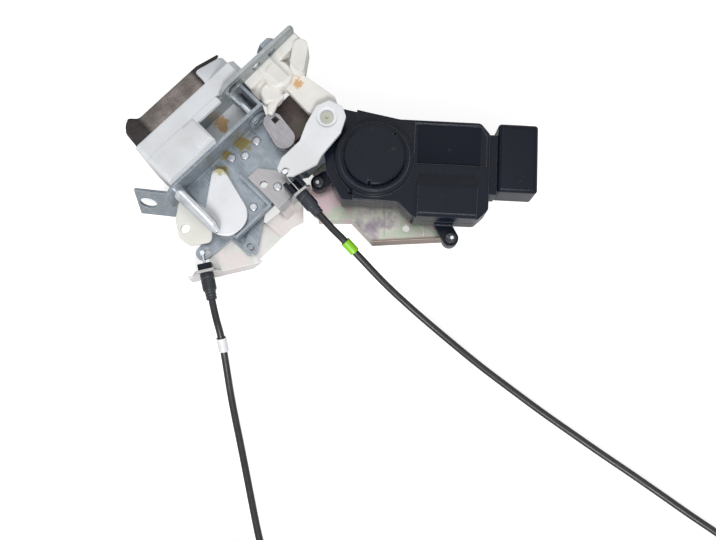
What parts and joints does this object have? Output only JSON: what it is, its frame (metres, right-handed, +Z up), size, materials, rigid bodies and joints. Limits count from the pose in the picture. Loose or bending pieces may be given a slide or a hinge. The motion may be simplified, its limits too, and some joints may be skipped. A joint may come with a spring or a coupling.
{
  "type": "door latch actuator",
  "caption": "Car door latch with release levers, two free control cables and a geared electric lock actuator on a plated bracket.",
  "frame": {"origin": "middle of the striker bar's seat in the latch mouth, in the plane of the mounting face", "axes": "+X along the mounting plate towards its welded nut, +Y out of the mounting face towards the striker, +Z up from the bench that the part lies on, towards the camera"},
  "size_m": [0.3852, 0.4956, 0.062],
  "materials": {
    "zinc_steel": "bright zinc plating",
    "dark_steel": "dark bare steel",
    "chromate_steel": "yellow chromate plating",
    "white_plastic": "smooth moulded",
    "natural_plastic": "translucent moulded",
    "black_plastic": "satin moulded",
    "foam": "closed-cell foam",
    "black_rubber": "soft",
    "pin_steel": "turned",
    "spring_steel": "drawn wire",
    "cord_black": "smooth cable jacket",
    "lime_band": "marking sleeve",
    "white_band": "marking sleeve",
    "gear_plastic": "moulded gear",
    "blade_metal": "tinned"
  },
  "bodies": {
    "latch_body": {"base_plate": "zinc_steel", "weld_nut": "zinc_steel", "front_housing": "white_plastic", "striker_bumper": "black_rubber", "seal_pad": "foam", "rear_housing": "white_plastic", "claw_pin": "pin_steel", "claw_spring": "spring_steel", "pawl_spring": "spring_steel", "lever_bracket": "zinc_steel", "bracket_rivets": "pin_steel", "guide_pin": "zinc_steel", "lever_moulding": "white_plastic", "inside_lever_pin": "pin_steel", "lift_post": "pin_steel", "lock_shaft": "pin_steel", "outside_pin": "pin_steel", "cable_bracket": "chromate_steel", "pad_rivet": "pin_steel", "lock_cable_clip": "black_plastic", "inside_cable_clip": "black_plastic", "lock_cable_ferrule": "black_plastic", "inside_cable_ferrule": "black_plastic", "lock_cable_conduit": "cord_black", "inside_cable_conduit": "cord_black", "lock_cable_coil": "cord_black", "inside_cable_coil": "cord_black", "lock_cable_end": "black_plastic", "inside_cable_end": "black_plastic", "lock_cable_band": "white_band", "inside_cable_band": "lime_band", "actuator_base": "black_plastic", "case_seal": "black_rubber", "actuator_case": "black_plastic", "gear_cap": "black_plastic", "motor_can": "zinc_steel", "connector_housing": "black_plastic", "connector_blades": "blade_metal", "actuator_bracket": "chromate_steel", "carrier_rivet": "pin_steel", "actuator_screws": "pin_steel"},
    "claw_body": {"claw": "dark_steel"},
    "pawl_body": {"pawl": "dark_steel", "pawl_shaft": "pin_steel", "pawl_arm": "zinc_steel"},
    "inside_lever_body": {"inside_lever": "white_plastic"},
    "inside_wire_body": {"inside_cable_wire": "pin_steel"},
    "lift_lever_body": {"lift_lever": "dark_steel"},
    "wheel_body": {"worm_wheel": "gear_plastic", "output_lever": "zinc_steel"},
    "rotor_body": {"motor_worm": "pin_steel"},
    "link_body": {"lock_link": "zinc_steel"},
    "lock_lever_body": {"lock_lever": "white_plastic", "lock_arm": "zinc_steel"},
    "lock_wire_body": {"lock_cable_wire": "pin_steel"},
    "outside_lever_body": {"outside_lever": "natural_plastic"}
  },
  "joints": [
    {"name": "claw_turn", "type": "hinge", "parent": "latch_body", "child": "claw_body", "pos_m": [-0.014, 0, -0.001], "axis": [0, -1, 0], "range_deg": [0, 50], "stiffness_Nm_per_rad": 0.05},
    {"name": "pawl_turn", "type": "hinge", "parent": "latch_body", "child": "pawl_body", "pos_m": [0.017, 0, 0.014], "axis": [0, 1, 0], "range_deg": [0, 15]},
    {"name": "inside_lever_turn", "type": "hinge", "parent": "latch_body", "child": "inside_lever_body", "pos_m": [0.0471, -0.0541, 0.02], "axis": [0, 0, 1], "range_deg": [0, 12], "stiffness_Nm_per_rad": 0.1},
    {"name": "inside_wire_slide", "type": "slide", "parent": "latch_body", "child": "inside_wire_body", "axis": [-0.0785, -0.9969, 0], "range_m": [0, 0.0095]},
    {"name": "lift_lever_turn", "type": "hinge", "parent": "latch_body", "child": "lift_lever_body", "pos_m": [0.02, -0.043, 0.0125], "axis": [0, 0, 1], "range_deg": [0, 7]},
    {"name": "wheel_turn", "type": "hinge", "parent": "latch_body", "child": "wheel_body", "pos_m": [0.0513, -0.0917, 0], "axis": [0, 0, 1], "range_deg": [0, 22]},
    {"name": "rotor_turn", "type": "hinge", "parent": "latch_body", "child": "rotor_body", "pos_m": [0.05577, -0.12805, 0.0065], "axis": [0.6691, -0.7431, 0], "range_deg": [0, 220]},
    {"name": "link_slide", "type": "slide", "parent": "latch_body", "child": "link_body", "axis": [-1, 0, 0], "range_m": [0, 0.0042]},
    {"name": "lock_lever_turn", "type": "hinge", "parent": "latch_body", "child": "lock_lever_body", "pos_m": [-0.042, -0.057, 0], "axis": [0, 0, -1], "range_deg": [0, 12.7]},
    {"name": "lock_wire_slide", "type": "slide", "parent": "latch_body", "child": "lock_wire_body", "axis": [0.5299, 0.848, 0], "range_m": [0, 0.0046]},
    {"name": "outside_lever_turn", "type": "hinge", "parent": "latch_body", "child": "outside_lever_body", "pos_m": [-0.049, -0.033, 0.002], "axis": [0, 0, 1], "range_deg": [0, 15], "stiffness_Nm_per_rad": 0.05}
  ],
  "couplings": [
    {"joint": "pawl_turn", "follows": "inside_lever_turn", "ratio": 1.25},
    {"joint": "inside_wire_slide", "follows": "inside_lever_turn", "m_per_rad": 0.04215},
    {"joint": "lift_lever_turn", "follows": "inside_lever_turn", "ratio": 0.58},
    {"joint": "rotor_turn", "follows": "wheel_turn", "ratio": 10},
    {"joint": "link_slide", "follows": "wheel_turn", "m_per_rad": 0.01031},
    {"joint": "lock_lever_turn", "follows": "wheel_turn", "ratio": 0.5727},
    {"joint": "lock_wire_slide", "follows": "wheel_turn", "m_per_rad": 0.01139}
  ]
}
